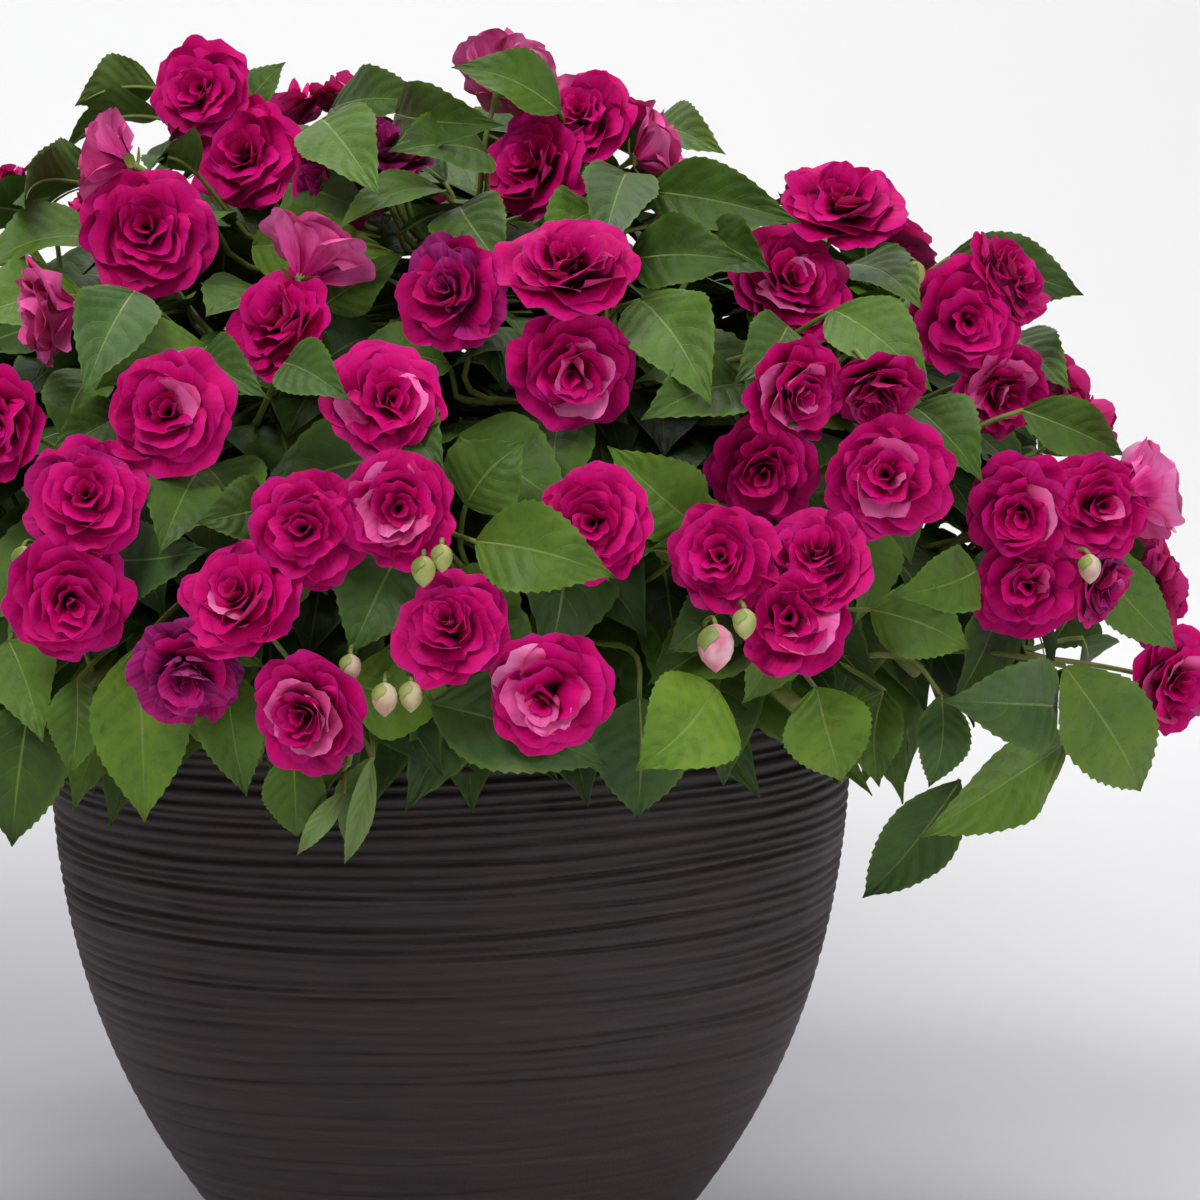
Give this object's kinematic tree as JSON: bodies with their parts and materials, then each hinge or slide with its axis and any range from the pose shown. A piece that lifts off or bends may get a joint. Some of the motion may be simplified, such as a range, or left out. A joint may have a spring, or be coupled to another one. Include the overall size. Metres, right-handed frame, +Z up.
{
  "type": "potted busy lizzie",
  "caption": "Double-flowered busy lizzie: a broad mound of magenta rosettes and toothed leaves hanging over a round, dark pot with wavy ridges.",
  "frame": {"origin": "centre of the pot's flat underside, on the ground", "axes": "+Z up, -Y towards the front that the picture shows, +X to the right of that front"},
  "size_m": [0.573, 0.5266, 0.4683],
  "materials": {
    "pot": "matt, dark brown, ridged resin",
    "potting_soil": "moist, crumbly peat",
    "foliage": "satin green leaves and succulent stems",
    "petals": "soft, velvety magenta petals"
  },
  "bodies": {
    "root": {"pot": "pot", "potting_soil": "potting_soil", "leafy_stem_01": "foliage", "leafy_stem_02": "foliage", "leafy_stem_03": "foliage", "leafy_stem_04": "foliage", "leafy_stem_05": "foliage", "leafy_stem_06": "foliage", "leafy_stem_07": "foliage", "leafy_stem_08": "foliage", "leafy_stem_09": "foliage", "leafy_stem_10": "foliage", "bloom_01": "petals", "bloom_02": "petals", "bloom_03": "petals", "bloom_04": "petals", "bloom_05": "petals", "bloom_06": "petals", "bloom_07": "petals", "bloom_08": "petals", "bloom_09": "petals", "bloom_10": "petals", "bloom_11": "petals", "bloom_12": "petals", "bloom_13": "petals", "bloom_14": "petals", "bloom_15": "petals", "bloom_16": "petals", "bloom_17": "petals", "bloom_18": "petals", "bloom_19": "petals", "bloom_20": "petals", "bloom_21": "petals", "bloom_22": "petals", "bloom_23": "petals", "bloom_24": "petals", "bloom_25": "petals", "bloom_26": "petals", "bloom_27": "petals", "bloom_28": "petals", "bloom_29": "petals", "bloom_30": "petals", "bloom_31": "petals", "bloom_32": "petals", "bloom_33": "petals", "bloom_34": "petals", "bloom_35": "petals", "bloom_36": "petals", "bloom_37": "petals", "bloom_38": "petals", "bloom_39": "petals", "bloom_40": "petals", "bloom_41": "petals", "bloom_42": "petals", "bloom_43": "petals", "bloom_44": "petals", "bloom_45": "petals", "bloom_46": "petals", "bloom_47": "petals"}
  },
  "joints": []
}
